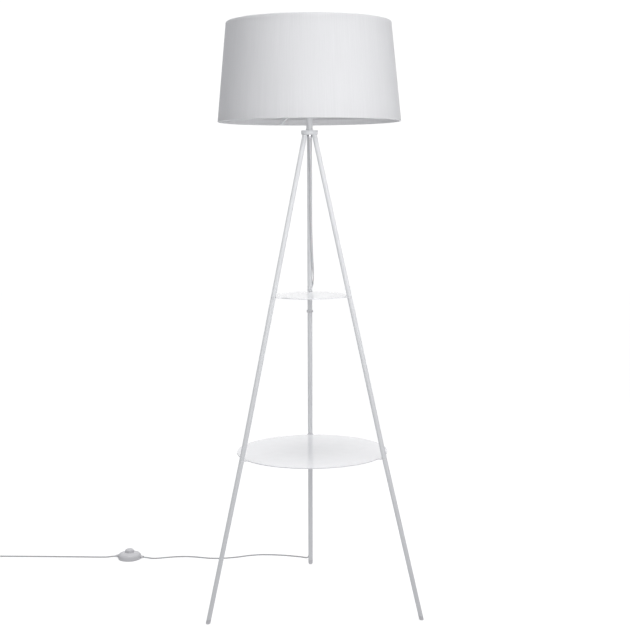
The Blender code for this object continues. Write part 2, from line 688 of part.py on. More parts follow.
# ---- foot switch ------------------------------------------------------------------------------
def foot_switch(lamp):
    frame = empty("switch_frame", (*SWITCH_PLACE, 0.0), SWITCH_TURN, lamp)
    inset = SWITCH_R - 0.0004
    base = [(inset - 0.0008, 0.0), (inset, 0.0006), (inset, SWITCH_BASE_TOP_Z)]
    add("switch_base", turned("switch_base", base, sides=32), plastic("switch_base"), frame)

    hole_r = BUTTON_R + 0.0004
    low = SWITCH_BASE_TOP_Z + GAP
    top = SWITCH_TOP_Z
    cover = [
        (SWITCH_R, low),
        (SWITCH_R, 0.0082),
        (0.0314, 0.0122),
        (0.0284, 0.0152),
        (0.0232, 0.0174),
        (0.0165, top - 0.0003),
        (hole_r, top),
        (hole_r, top - 0.0018),
        (0.0160, top - 0.0021),
        (0.0220, 0.0153),
        (0.0263, 0.0134),
        (0.0291, 0.0110),
        (0.0303, 0.0078),
        (0.0303, low),
    ]
    dome = add("switch_cover", turned("switch_cover", cover, True, 32), plastic("switch_cover"), frame)
    arch_r = GROMMET_R + 0.0004
    arch = [(-arch_r, 0.0), (arch_r, 0.0)]
    arch_top = [math.pi * i / 8 for i in range(9)]
    arch += [(arch_r * math.cos(t), GROMMET_Z + arch_r * math.sin(t)) for t in arch_top]
    slot = prism("cut_switch_slot", arch, -0.06, 0.06)
    stand_up = (math.pi / 2, 0.0, math.pi / 2)
    cut(dome, add("cut_switch_slot", slot, None, frame, turn=stand_up))

    bore = CORD_R + GAP
    sleeve = [
        (bore, GROMMET_START),
        (GROMMET_R, GROMMET_START),
        (GROMMET_R, SWITCH_R + 0.0010),
        (GROMMET_FLANGE_R, SWITCH_R + 0.0010),
        (GROMMET_FLANGE_R, SWITCH_R + 0.0024),
        (GROMMET_R + 0.0002, SWITCH_R + 0.0026),
        (bore + 0.0004, GROMMET_END),
        (bore, GROMMET_END),
    ]
    for name, turn_y in (("switch_grommet_lamp", math.pi / 2), ("switch_grommet_plug", -math.pi / 2)):
        mesh = turned(name, sleeve, looped=True, sides=16)
        add(name, mesh, plastic(name), frame, (0.0, 0.0, GROMMET_Z), (0.0, turn_y, 0.0))

    crown = 0.0030
    button = [
        (BUTTON_BORE_R, BUTTON_FLANGE_LOW_Z),
        (BUTTON_FLANGE_R, BUTTON_FLANGE_LOW_Z),
        (BUTTON_FLANGE_R, BUTTON_FLANGE_TOP_Z),
        (BUTTON_R, BUTTON_FLANGE_TOP_Z),
        (BUTTON_R, BUTTON_TOP_Z - 0.0044),
        (BUTTON_R - 0.0005, BUTTON_TOP_Z - 0.0025),
        (BUTTON_R - 0.0019, BUTTON_TOP_Z - 0.0010),
        (BUTTON_R - 0.0045, BUTTON_TOP_Z),
        (0.0008, BUTTON_TOP_Z),
        (0.0008, BUTTON_TOP_Z - crown),
        (BUTTON_BORE_R, BUTTON_TOP_Z - crown),
    ]
    add("switch_button", turned("switch_button", button, True, 24), plastic("switch_button"), frame)

    corners = [(-0.011, -0.008), (0.011, -0.008), (0.011, 0.008), (-0.011, 0.008)]
    block = prism("switch_contacts", corners, low, CONTACTS_TOP_Z)
    add("switch_contacts", block, look("switch_contacts", (0.25, 0.24, 0.22), 0.5), frame)
    spring(frame, CONTACTS_TOP_Z + GAP, BUTTON_TOP_Z - crown - GAP)


def spring(frame, low, high):
    """A coil spring of round wire that pushes the button up."""
    mean_r, wire_r, turns, per_turn, wire_sides = 0.0052, 0.00045, 4, 12, 6
    count = turns * per_turn
    climb = (high - low - 2 * wire_r) / count
    rings = []
    for i in range(count + 1):
        angle = math.tau * i / per_turn
        outward = Vector((math.cos(angle), math.sin(angle), 0.0))
        centre = outward * mean_r + Vector((0.0, 0.0, low + wire_r + climb * i))
        steps = [math.tau * j / wire_sides for j in range(wire_sides)]
        up = Vector((0.0, 0.0, wire_r))
        rings.append([centre + outward * (wire_r * math.cos(t)) + up * math.sin(t) for t in steps])
    add("switch_spring", bridged("switch_spring", rings, looped=False), steel("switch_spring"), frame)


# ---- lead, coil and plug ----------------------------------------------------------------------
def lead(lamp):
    bend_step = math.radians(14.0)
    cord_tube("cord_lamp", smooth_points(LAMP_CORD_ROUTE, 0.110, bend_step), lamp)
    cord_tube("cord_plug", smooth_points(PLUG_CORD_ROUTE, 0.060, bend_step), lamp)
    inner, outer = COIL_R - COIL_HALF, COIL_R + COIL_HALF
    soft = 0.0018
    ring = [
        (inner + soft, COIL_LOW_Z),
        (outer - soft, COIL_LOW_Z),
        (outer, COIL_LOW_Z + soft),
        (outer, COIL_TOP_Z - soft),
        (outer - soft, COIL_TOP_Z),
        (inner + soft, COIL_TOP_Z),
        (inner, COIL_TOP_Z - soft),
        (inner, COIL_LOW_Z + soft),
    ]
    frame = empty("coil_frame", (*COIL_PLACE, 0.0), 0.0, lamp)
    add("cord_coil", turned("cord_coil", ring, looped=True, sides=30), cord_look("cord_coil"), frame)
    cord_tie(frame)


def cord_tie(frame):
    """A flat strap round the coil's bundle on the side nearest the lamp."""
    half_wide = COIL_HALF + 2 * GAP
    low, high = COIL_LOW_Z - GAP, COIL_TOP_Z + GAP
    thick = 0.0009

    def loop(grow, y):
        return [
            (COIL_R - half_wide - grow, y, low - grow),
            (COIL_R + half_wide + grow, y, low - grow),
            (COIL_R + half_wide + grow, y, high + grow),
            (COIL_R - half_wide - grow, y, high + grow),
        ]

    rings = [loop(thick, -0.003), loop(thick, 0.003), loop(0.0, 0.003), loop(0.0, -0.003)]
    dark = look("cord_tie", (0.12, 0.12, 0.13), 0.7)
    turn = (0.0, 0.0, math.radians(-70.0))
    add("cord_tie", bridged("cord_tie", rings, looped=True), dark, frame, turn=turn)


def plug(lamp):
    """A flat two-pin plug lying on its broad face, with a tapered boot for the lead."""
    frame = empty("plug_frame", (*PLUG_PLACE, PLUG_AXIS_Z), math.radians(-90.0), lamp)
    sections = [
        (0.0000, 0.0033, 0.0033, 2.0),
        (0.0200, 0.0050, 0.0050, 2.2),
        (0.0225, 0.0074, 0.0061, 2.8),
        (0.0280, 0.0106, 0.0067, 3.6),
        (0.0365, 0.0129, 0.0069, 4.2),
        (PLUG_LENGTH - 0.0022, 0.0132, 0.0069, 4.6),
        (PLUG_LENGTH, 0.0126, 0.0063, 4.2),
    ]
    rings = []
    for along, half_wide, half_high, square in sections:
        ring = []
        for i in range(SIDES):
            t = math.tau * i / SIDES
            c, s = math.cos(t), math.sin(t)
            y = math.copysign(abs(c) ** (2.0 / square), c) * half_wide
            z = math.copysign(abs(s) ** (2.0 / square), s) * half_high
            ring.append((along, y, z))
        rings.append(ring)
    add("plug_body", bridged("plug_body", rings, looped=False), plastic("plug_body"), frame)
    pin = [
        (PIN_R, 0.0),
        (PIN_R, PIN_LENGTH - 0.0018),
        (PIN_R - 0.0004, PIN_LENGTH - 0.0006),
        (PIN_R - 0.0012, PIN_LENGTH),
    ]
    for name, side in (("plug_pin_left", 1.0), ("plug_pin_right", -1.0)):
        place = (PLUG_LENGTH + GAP, side * PIN_SPREAD, 0.0)
        add(name, turned(name, pin, sides=16), steel(name), frame, place, (0.0, math.pi / 2, 0.0))


def build():
    clear_scene()
    lamp = empty("lamp_axis", (0.0, AXIS_Y, 0.0))
    leg_frames = tripod(lamp)
    cord_clip(leg_frames["rear"])
    neck(lamp)
    lampholder(lamp)
    shade_clamps(lamp)
    shade(lamp)
    bulb(lamp)
    foot_switch(lamp)
    lead(lamp)
    plug(lamp)


build()
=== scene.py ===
"""How the tripod floor lamp looks: its camera, light, fabric shade, lead and finishes."""

import json
import math

import bmesh
import bpy
import numpy as np
from mathutils import Matrix, Vector


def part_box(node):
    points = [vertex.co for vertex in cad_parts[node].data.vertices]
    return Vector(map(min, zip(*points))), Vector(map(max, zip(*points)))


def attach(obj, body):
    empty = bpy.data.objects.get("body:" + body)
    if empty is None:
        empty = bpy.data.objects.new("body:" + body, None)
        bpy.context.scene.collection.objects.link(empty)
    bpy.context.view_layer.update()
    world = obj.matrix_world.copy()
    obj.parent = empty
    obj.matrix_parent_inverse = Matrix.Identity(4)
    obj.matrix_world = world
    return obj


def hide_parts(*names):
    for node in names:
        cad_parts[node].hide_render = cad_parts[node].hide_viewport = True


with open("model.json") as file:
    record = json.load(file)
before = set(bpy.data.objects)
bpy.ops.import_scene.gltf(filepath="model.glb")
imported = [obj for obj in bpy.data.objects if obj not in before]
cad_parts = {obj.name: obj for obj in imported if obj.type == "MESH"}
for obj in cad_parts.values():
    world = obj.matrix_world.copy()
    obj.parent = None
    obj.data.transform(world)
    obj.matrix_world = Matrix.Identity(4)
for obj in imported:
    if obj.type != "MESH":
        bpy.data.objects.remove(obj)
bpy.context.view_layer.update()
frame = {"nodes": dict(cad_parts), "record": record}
nodes = frame["nodes"]

# ---- sizes and places, in metres, worked out from the frame ------------------------------------
hub_low, hub_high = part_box("hub")
AXIS = Vector(((hub_low.x + hub_high.x) / 2, (hub_low.y + hub_high.y) / 2, 0.0))
shade_low, shade_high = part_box("shade_skin")
SHADE_BOTTOM_R = (shade_high.x - shade_low.x) / 2
SHADE_TOP_R = SHADE_BOTTOM_R - 0.0236
SHADE_LOW_Z, SHADE_HIGH_Z = shade_low.z, shade_high.z
LEAD_WIDTH = 0.0052
LEAD_THICK = 0.0032
ON_EDGE = math.pi / 2
TURN_GAP = 0.0003
LYING_Z = 0.0027
LEAVES_FLOOR = 0.03
PAST_LEG_Z = 0.824
PAST_LEG_SPAN = 0.022
KEY_PLACE = (0.54, -1.62, 1.28)
KEY_SIZE = (0.9, 0.8)
KEY_SPREAD = 100.0
KEY_POWER = 5.1
TOP_PLACE = (0.0, 0.0, 2.60)
TOP_SIZE = (0.7, 0.7)
TOP_POWER = 13.5
SKY_TOP = (0.92, 0.925, 0.94)
SKY_SIDE = (0.205, 0.210, 0.225)
SKY_BELOW = (1.20, 1.20, 1.22)
BACK_GLOW = 0.95
FLOOR_R = 9.0
SEAM_ANGLE = 96.0
LAP_HEIGHT = 0.0006
SHARP_EDGE = math.radians(38.0)
UPPER_DISC_R = 0.092
LOWER_DISC_R = 0.190
TAB_R = 0.0082
TAB_FILLET_R = 0.004
PAINT_ROUND_R = 0.0003
FLAT_TOP_EDGE = 14.0
EDGE_STEPS = [math.radians(30.0 * i) for i in range(4)]

# Each rounded piece and the radius of its edges.
ROUNDED = {
    "hub": 0.0005,
    "neck_tube": 0.0003,
    "neck_collar": 0.0003,
    "cord_clip": 0.0005,
    "lampholder_cap": 0.0004,
    "lampholder_shell": 0.0004,
    "shade_clamp_lower": 0.0004,
    "shade_clamp_upper": 0.0004,
    "switch_base": 0.0002,
    "switch_cover": 0.0004,
    "switch_button": 0.0003,
    "switch_grommet_lamp": 0.0002,
    "switch_grommet_plug": 0.0002,
    "plug_body": 0.0004,
}

# ---- the lead's routes, from the lamp's axis ----------------------------------------------------
LAMP_CORD_ROUTE = [
    (0.0000, 0.0000, 1.1732), (0.0012, 0.0035, 1.1520), (0.0030, 0.0150, 1.1080),
    (0.0034, 0.0385, 1.0200), (0.0036, 0.0545, 0.9620), (0.0052, 0.0692, 0.9050),
    (0.0066, 0.0782, 0.8720), (0.0082, 0.0888, 0.8470), (0.0091, 0.1002, 0.8220),
    (0.0074, 0.1090, 0.8080), (0.0042, 0.1143, 0.7980), (0.0014, 0.1177, 0.7890),
    (0.0002, 0.1209, 0.7750), (0.0000, 0.1243, 0.7600), (0.0000, 0.1301, 0.7350),
    (0.0000, 0.1326, 0.7250), (0.0000, 0.1390, 0.7000), (0.0000, 0.1630, 0.6000),
    (0.0000, 0.2080, 0.4100), (0.0000, 0.2120, 0.3940), (0.0000, 0.2182, 0.3700),
    (0.0000, 0.2612, 0.2000), (0.0000, 0.2890, 0.0900), (-0.0006, 0.3055, 0.0480),
    (-0.0025, 0.3235, 0.0210), (-0.0062, 0.3400, 0.0078), (-0.0140, 0.3530, 0.0034),
    (-0.0280, 0.3622, 0.0027), (-0.0560, 0.3725, 0.0027), (-0.0860, 0.3812, 0.0027),
    (-0.1150, 0.3862, 0.0027), (-0.1436, 0.3878, 0.0027), (-0.1722, 0.3827, 0.0027),
    (-0.2006, 0.3722, 0.0027), (-0.2280, 0.3642, 0.0027), (-0.2570, 0.3608, 0.0027),
    (-0.2857, 0.3632, 0.0027), (-0.3150, 0.3728, 0.0027), (-0.3442, 0.3812, 0.0027),
    (-0.3729, 0.3830, 0.0027), (-0.3980, 0.3802, 0.0027), (-0.4170, 0.3757, 0.0027),
    (-0.4320, 0.3720, 0.0027), (-0.4445, 0.3701, 0.0029), (-0.4555, 0.3697, 0.0038),
    (-0.4655, 0.3705, 0.0054), (-0.4753, 0.3720, 0.0062),
]
PLUG_CORD_ROUTE = [
    (-0.5567, 0.3860, 0.0062), (-0.5665, 0.3876, 0.0054), (-0.5770, 0.3892, 0.0037),
    (-0.5900, 0.3908, 0.0028), (-0.6605, 0.3970, 0.0027), (-0.7185, 0.4020, 0.0027),
    (-0.7765, 0.4070, 0.0027), (-0.8347, 0.4117, 0.0027), (-0.8928, 0.4162, 0.0027),
    (-0.9220, 0.4190, 0.0028), (-0.9462, 0.4200, 0.0030),
]


# ---- camera, light and floor --------------------------------------------------------------------
def camera():
    """Stands 3 m in front of the lamp at 1.09 m, a little to its left, looking slightly down."""
    data = bpy.data.cameras.new("camera")
    data.sensor_width = 36.0
    data.lens = 70.03
    data.shift_x = -0.01182
    data.shift_y = 0.00344
    cam = bpy.data.objects.new("camera", data)
    bpy.context.scene.collection.objects.link(cam)
    turn = Matrix.Rotation(math.radians(-1.889), 4, "Z")
    tilt = Matrix.Rotation(math.radians(90.0 - 6.593), 4, "X")
    roll = Matrix.Rotation(math.radians(-0.414), 4, "Z")
    place = Matrix.Translation(Vector((-0.0719, -3.0442, 1.0851)) + AXIS)
    cam.matrix_world = place @ turn @ tilt @ roll
    bpy.context.scene.camera = cam


def area_light(name, place, aim, size, power, spread=180.0):
    data = bpy.data.lights.new(name, "AREA")
    data.shape = "RECTANGLE"
    data.size, data.size_y = size
    data.energy = power
    data.spread = math.radians(spread)
    lamp = bpy.data.objects.new(name, data)
    bpy.context.scene.collection.objects.link(lamp)
    lamp.location = place
    lamp.rotation_euler = (Vector(aim) - Vector(place)).to_track_quat("-Z", "Y").to_euler()
    lamp.visible_camera = False


def sky(world):
    """Soft light from all round: bright overhead and from the floor, dimmer at the sides."""
    world.use_nodes = True
    tree = world.node_tree
    texture = tree.nodes.new("ShaderNodeTexCoord")
    parts = tree.nodes.new("ShaderNodeSeparateXYZ")
    height = tree.nodes.new("ShaderNodeMapRange")
    height.inputs["From Min"].default_value = -1.0
    ramp = tree.nodes.new("ShaderNodeValToRGB")
    ramp.color_ramp.elements[0].position = 0.0
    ramp.color_ramp.elements[0].color = (*SKY_BELOW, 1.0)
    ramp.color_ramp.elements[1].position = 1.0
    ramp.color_ramp.elements[1].color = (*SKY_TOP, 1.0)
    side = ramp.color_ramp.elements.new(0.5)
    side.color = (*SKY_SIDE, 1.0)
    back = tree.nodes["Background"]
    tree.links.new(texture.outputs["Generated"], parts.inputs["Vector"])
    tree.links.new(parts.outputs["Z"], height.inputs["Value"])
    tree.links.new(height.outputs["Result"], ramp.inputs["Fac"])
    tree.links.new(ramp.outputs["Color"], back.inputs["Color"])


def stage_piece(name, bm, colour, glow):
    """Part of the studio: seen by the camera and in no reflection, so it adds no light to the lamp."""
    mesh = bpy.data.meshes.new(name)
    bm.to_mesh(mesh)
    bm.free()
    made = bpy.data.objects.new(name, mesh)
    bpy.context.scene.collection.objects.link(made)
    material, shader = new_material(name, colour, 0.9)
    shader.inputs["Specular IOR Level"].default_value = 0.0
    shader.inputs["Emission Color"].default_value = (1.0, 1.0, 1.0, 1.0)
    shader.inputs["Emission Strength"].default_value = glow
    mesh.materials.append(material)
    made.visible_diffuse = False
    made.visible_glossy = False
    made.visible_transmission = False
    return made


def studio():
    scene = bpy.context.scene
    scene.view_settings.view_transform = "Standard"
    scene.view_settings.look = "None"
    scene.world = bpy.data.worlds.new("studio")
    sky(scene.world)
    area_light("key", KEY_PLACE, (0.0, 0.0, 1.33), KEY_SIZE, KEY_POWER, KEY_SPREAD)
    area_light("top", TOP_PLACE, (0.0, AXIS.y, 0.0), TOP_SIZE, TOP_POWER)

    bm = bmesh.new()
    bmesh.ops.create_circle(bm, cap_ends=True, segments=96, radius=FLOOR_R)
    floor = stage_piece("floor", bm, (0.36, 0.36, 0.36), 0.76)
    floor.location.z = -0.0002
    bm = bmesh.new()
    bmesh.ops.create_icosphere(bm, subdivisions=4, radius=FLOOR_R)
    backdrop = stage_piece("backdrop", bm, (0.0, 0.0, 0.0), 1.05)
    backdrop.visible_shadow = False
    bm = bmesh.new()
    bmesh.ops.create_grid(bm, x_segments=1, y_segments=1, size=1.0)
    panel = stage_piece("back_panel", bm, (0.0, 0.0, 0.0), BACK_GLOW)
    panel.scale = (1.3, 1.2, 1.0)
    panel.rotation_euler = (math.radians(90.0), 0.0, 0.0)
    panel.location = (0.0, 3.2, 1.21)
    # Unlike the floor and backdrop, the panel is seen only in reflections.
    panel.visible_camera = False
    panel.visible_glossy = True
    panel.visible_shadow = False


# ---- material building --------------------------------------------------------------------------
def new_material(name, colour, roughness, metallic=0.0):
    material = bpy.data.materials.new(name)
    material.use_nodes = True
    shader = material.node_tree.nodes["Principled BSDF"]
    shader.inputs["Base Color"].default_value = (*colour, 1.0)
    shader.inputs["Roughness"].default_value = roughness
    shader.inputs["Metallic"].default_value = metallic
    material.diffuse_color = (*colour, 1.0)
    return material, shader


class Nodes:
    """Short names for adding and joining a material's nodes."""

    def __init__(self, material):
        self.tree = material.node_tree
        self.shader = self.tree.nodes["Principled BSDF"]

    def add(self, kind, **settings):
        node = self.tree.nodes.new("ShaderNode" + kind)
        for name, value in settings.items():
            setattr(node, name, value)
        return node

    def join(self, source, target):
        self.tree.links.new(source, target)

    def coords(self, scale=(1.0, 1.0, 1.0)):
        texture = self.add("TexCoord")
        mapping = self.add("Mapping")
        mapping.inputs["Scale"].default_value = scale
        self.join(texture.outputs["Object"], mapping.inputs["Vector"])
        return mapping.outputs["Vector"]

    def noise(self, vector, scale, detail=3.0, rough=0.55):
        texture = self.add("TexNoise")
        texture.inputs["Scale"].default_value = scale
        texture.inputs["Detail"].default_value = detail
        texture.inputs["Roughness"].default_value = rough
        self.join(vector, texture.inputs["Vector"])
        return texture.outputs["Fac"]

    def spread(self, value, low, high, from_low=0.0, from_high=1.0):
        """A value moved from one range to another."""
        ranged = self.add("MapRange")
        ranged.inputs["From Min"].default_value = from_low
        ranged.inputs["From Max"].default_value = from_high
        ranged.inputs["To Min"].default_value = low
        ranged.inputs["To Max"].default_value = high
        self.join(value, ranged.inputs["Value"])
        return ranged.outputs["Result"]

    def maths(self, operation, first, second=None):
        node = self.add("Math", operation=operation)
        for socket, value in zip(node.inputs, (first, second)):
            if value is None:
                continue
            if isinstance(value, (int, float)):
                socket.default_value = value
            else:
                self.join(value, socket)
        return node.outputs["Value"]

    def blend(self, fac, first, second):
        """Two colours mixed by a value."""
        mix = self.add("Mix", data_type="RGBA")
        for socket, value in ((mix.inputs[6], first), (mix.inputs[7], second)):
            if isinstance(value, tuple):
                socket.default_value = (*value, 1.0)
            else:
                self.join(value, socket)
        if isinstance(fac, float):
            mix.inputs[0].default_value = fac
        else:
            self.join(fac, mix.inputs[0])
        return mix.outputs[2]

    def bump(self, height, strength, distance, under=None):
        node = self.add("Bump")
        node.inputs["Strength"].default_value = strength
        node.inputs["Distance"].default_value = distance
        self.join(height, node.inputs["Height"])
        if under is not None:
            self.join(under, node.inputs["Normal"])
        return node.outputs["Normal"]

    def finish(self, colour=None, roughness=None, normal=None):
        pairs = (("Base Color", colour), ("Roughness", roughness), ("Normal", normal))
        for name, value in pairs:
            if value is not None:
                self.join(value, self.shader.inputs[name])


def powder_coat():
    """Satin white powder coat: a fine orange peel and the faintest mottling."""
    material, shader = new_material("powder_coat", (0.77, 0.78, 0.79), 0.52)
    shader.inputs["Specular IOR Level"].default_value = 0.30
    n = Nodes(material)
    where = n.coords()
    peel = n.noise(where, 900.0, 2.0)
    mottle = n.noise(where, 14.0, 4.0)
    fleck = n.noise(where, 2600.0, 1.0)
    colour = n.blend(n.spread(mottle, 0.0, 1.0, 0.3, 0.7), (0.760, 0.768, 0.778), (0.776, 0.784, 0.793))
    colour = n.blend(n.spread(fleck, 0.0, 0.05, 0.62, 0.72), colour, (0.55, 0.56, 0.57))
    rough = n.spread(n.noise(where, 60.0, 3.0), 0.48, 0.60, 0.3, 0.7)
    n.finish(colour, rough, n.bump(peel, 0.22, 0.00025))
    return material


def shelf_coat():
    """The shelves' powder coat, smoother than the tubes', so that it mirrors the legs softly."""
    material, shader = new_material("shelf_coat", (0.87, 0.87, 0.885), 0.24)
    shader.inputs["Coat Weight"].default_value = 0.5
    shader.inputs["Coat Roughness"].default_value = 0.07
    n = Nodes(material)
    where = n.coords()
    peel = n.noise(where, 300.0, 2.0)
    ripple = n.noise(where, 9.0, 2.0)
    colour = n.blend(n.spread(ripple, 0.0, 1.0, 0.3, 0.7), (0.868, 0.868, 0.884), (0.873, 0.873, 0.888))
    rough = n.spread(n.noise(where, 35.0, 4.0), 0.22, 0.27, 0.3, 0.7)
    n.finish(colour, rough, n.bump(peel, 0.03, 0.00003))
    return material


def moulded(name, colour, roughness, sparkle=0.22):
    """Injection-moulded plastic with a fine spark-eroded grain."""
    material, _ = new_material(name, colour, roughness)
    n = Nodes(material)
    where = n.coords()
    grain = n.noise(where, 2400.0, 2.0)
    cloud = n.noise(where, 40.0, 3.0)
    darker = tuple(0.96 * c for c in colour)
    tint = n.blend(n.spread(cloud, 0.0, 1.0, 0.3, 0.7), darker, colour)
    rough = n.spread(n.noise(where, 120.0, 3.0), roughness - 0.05, roughness + 0.07, 0.3, 0.7)
    n.finish(tint, rough, n.bump(grain, sparkle, 0.00012))
    return material


def lead_sheath():
    """Soft white PVC, slightly glossy, faintly scuffed and mottled, and greyed by painted shade where it
    lies low.
    """
    material, shader = new_material("lead_sheath", (0.64, 0.64, 0.65), 0.42)
    shader.inputs["Subsurface Weight"].default_value = 0.08
    shader.inputs["Subsurface Scale"].default_value = 0.001
    n = Nodes(material)
    where = n.coords()
    scuff = n.noise(where, 260.0, 5.0, 0.7)
    dust = n.noise(where, 30.0, 3.0)
    sheath_tone = n.blend(n.spread(dust, 0.0, 1.0, 0.35, 0.7), (0.66, 0.66, 0.67), (0.60, 0.60, 0.61))
    # This greyer copy of the sheath's colour is painted shade, not the sheath's own colour.
    painted_shade_low = n.blend(n.spread(dust, 0.0, 1.0, 0.35, 0.7), (0.45, 0.45, 0.46), (0.40, 0.40, 0.41))
    parts = n.add("SeparateXYZ")
    n.join(where, parts.inputs["Vector"])
    # Painted shade: the greyer colour takes over within 1.5 cm of the floor and fades out by 4.5 cm.
    colour = n.blend(n.spread(parts.outputs["Z"], 0.0, 1.0, 0.015, 0.045), painted_shade_low, sheath_tone)
    rough = n.spread(scuff, 0.36, 0.58, 0.35, 0.7)
    n.finish(colour, rough, n.bump(scuff, 0.12, 0.0001))
    return material


def plated(name, colour, roughness):
    """Zinc-plated or brass pieces, with fine turning marks and a slight stain."""
    material, _ = new_material(name, colour, roughness, 1.0)
    n = Nodes(material)
    lines = n.noise(n.coords((60.0, 60.0, 9000.0)), 1.0, 2.0)
    stain = n.noise(n.coords(), 90.0, 4.0)
    darker = tuple(0.8 * c for c in colour)
    tint = n.blend(n.spread(stain, 0.0, 1.0, 0.4, 0.75), colour, darker)
    rough = n.spread(stain, roughness - 0.07, roughness + 0.12, 0.3, 0.7)
    n.finish(tint, rough, n.bump(lines, 0.25, 0.00005))
    return material


def porcelain():
    material, _ = new_material("porcelain", (0.86, 0.85, 0.82), 0.45)
    n = Nodes(material)
    where = n.coords()
    speck = n.noise(where, 1500.0, 2.0)
    colour = n.blend(n.spread(speck, 0.0, 0.2, 0.6, 0.75), (0.86, 0.85, 0.82), (0.6, 0.58, 0.54))
    n.finish(colour, None, n.bump(n.noise(where, 700.0, 3.0), 0.15, 0.0002))
    return material


def opal_glass():
    material, shader = new_material("opal_glass", (0.94, 0.94, 0.92), 0.16)
    shader.inputs["Subsurface Weight"].default_value = 0.35
    shader.inputs["Subsurface Scale"].default_value = 0.004
    shader.inputs["Coat Weight"].default_value = 0.5
    shader.inputs["Coat Roughness"].default_value = 0.05
    n = Nodes(material)
    cloud = n.noise(n.coords(), 25.0, 3.0)
    colour = n.blend(n.spread(cloud, 0.0, 1.0, 0.3, 0.7), (0.93, 0.93, 0.90), (0.95, 0.95, 0.935))
    n.finish(colour, n.spread(cloud, 0.14, 0.2, 0.3, 0.7))
    return material


def around_axis(n):
    """The angle round the lamp's axis and the height, as two values."""
    texture = n.add("TexCoord")
    shift = n.add("VectorMath", operation="SUBTRACT")
    shift.inputs[1].default_value = AXIS
    n.join(texture.outputs["Object"], shift.inputs[0])
    parts = n.add("SeparateXYZ")
    n.join(shift.outputs["Vector"], parts.inputs["Vector"])
    angle = n.maths("ARCTAN2", parts.outputs["Y"], parts.outputs["X"])
    return angle, parts.outputs["Z"]


def shade_textile(name, colour, rib_strength, through):
    """White chintz on a stiff liner: fine upright threads, a finer crosswise weave, and slubs in both."""
    material, shader = new_material(name, colour, 0.85)
    shader.inputs["Sheen Weight"].default_value = 0.25
    shader.inputs["Sheen Roughness"].default_value = 0.45
    shader.inputs["Specular IOR Level"].default_value = 0.22
    n = Nodes(material)
    angle, height = around_axis(n)
    warp_count, weft_pitch = 1150.0, 0.0011
    warp = n.maths("SINE", n.maths("MULTIPLY", angle, warp_count))
    weft = n.maths("SINE", n.maths("MULTIPLY", height, math.tau / weft_pitch))
    bundle = n.add("CombineXYZ")
    n.join(n.maths("MULTIPLY", angle, 90.0), bundle.inputs["X"])
    n.join(n.maths("MULTIPLY", height, 6.0), bundle.inputs["Y"])
    slub = n.noise(bundle.outputs["Vector"], 1.0, 4.0, 0.7)
    across = n.add("CombineXYZ")
    n.join(n.maths("MULTIPLY", angle, 3.0), across.inputs["X"])
    n.join(n.maths("MULTIPLY", height, 900.0), across.inputs["Y"])
    weft_slub = n.noise(across.outputs["Vector"], 1.0, 3.0, 0.7)
    threads = n.maths("ADD", n.maths("MULTIPLY", warp, 0.5), n.maths("MULTIPLY", weft, 0.25))
    threads = n.maths("ADD", threads, n.maths("MULTIPLY", slub, 1.6))
    threads = n.maths("ADD", threads, n.maths("MULTIPLY", weft_slub, 0.5))
    darker = tuple(0.955 * c for c in colour)
    tint = n.blend(n.spread(slub, 0.0, 1.0, 0.35, 0.68), darker, colour)
    tint = n.blend(n.spread(warp, 0.0, 0.06, -1.0, 1.0), tint, (0.70, 0.71, 0.73))
    n.finish(tint, None, n.bump(threads, rib_strength, 0.00018))
    if through:
        glow = n.add("BsdfTranslucent")
        mixer = n.add("MixShader")
        n.join(tint, glow.inputs["Color"])
        mixer.inputs["Fac"].default_value = through
        n.join(n.shader.outputs["BSDF"], mixer.inputs[1])
        n.join(glow.outputs["BSDF"], mixer.inputs[2])
        output = n.tree.nodes["Material Output"]
        n.join(mixer.outputs["Shader"], output.inputs["Surface"])
    return material


# ---- shapes --------------------------------------------------------------------------------------
def piece(name, mesh, material, body="root", stands_for=()):
    made = bpy.data.objects.new(name, mesh)
    bpy.context.scene.collection.objects.link(made)
    mesh.materials.append(material)
    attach(made, body)
    if stands_for:
        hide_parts(*stands_for)
    return made


def skinned(name, rings, closed_rows=False, caps=True, sharp=35.0):
    """Rings of points bridged in order into one smooth closed mesh."""
    bm = bmesh.new()
    rows = [[bm.verts.new(point) for point in ring] for ring in rings]
    spans = len(rows) if closed_rows else len(rows) - 1
    for i in range(spans):
        here, there = rows[i], rows[(i + 1) % len(rows)]
        for j in range(len(here)):
            k = (j + 1) % len(here)
            bm.faces.new((here[j], here[k], there[k], there[j]))
    if caps and not closed_rows:
        bm.faces.new(rows[0])
        bm.faces.new(rows[-1])
    bmesh.ops.recalc_face_normals(bm, faces=bm.faces[:])
    mesh = bpy.data.meshes.new(name)
    bm.to_mesh(mesh)
    bm.free()
    mesh.shade_smooth()
    mesh.set_sharp_from_angle(angle=math.radians(sharp))
    return mesh


def ring_at(radius, z, sides, centre=AXIS):
    steps = [math.tau * i / sides for i in range(sides)]
    return [centre + Vector((radius * math.cos(t), radius * math.sin(t), z)) for t in steps]


def smooth_line(route, step):
    """Points a step apart along the centripetal curve through a route."""
    spots = [Vector(point) for point in route]
    ends = [spots[0] * 2 - spots[1]] + spots + [spots[-1] * 2 - spots[-2]]
    found = [spots[0]]
    for i in range(1, len(ends) - 2):
        four = ends[i - 1 : i + 3]
        knots = [0.0]
        for a, b in zip(four, four[1:]):
            knots.append(knots[-1] + math.sqrt((b - a).length))
        count = max(1, round((four[2] - four[1]).length / step))
        for k in range(1, count + 1):
            found.append(curve_point(four, knots, knots[1] + (knots[2] - knots[1]) * k / count))
    return found


def curve_point(four, knots, t):
    def mix(a, b, low, high):
        return a * ((high - t) / (high - low)) + b * ((t - low) / (high - low))

    first = [mix(four[i], four[i + 1], knots[i], knots[i + 1]) for i in range(3)]
    second = [mix(first[i], first[i + 1], knots[i], knots[i + 2]) for i in range(2)]
    return mix(second[0], second[1], knots[1], knots[2])


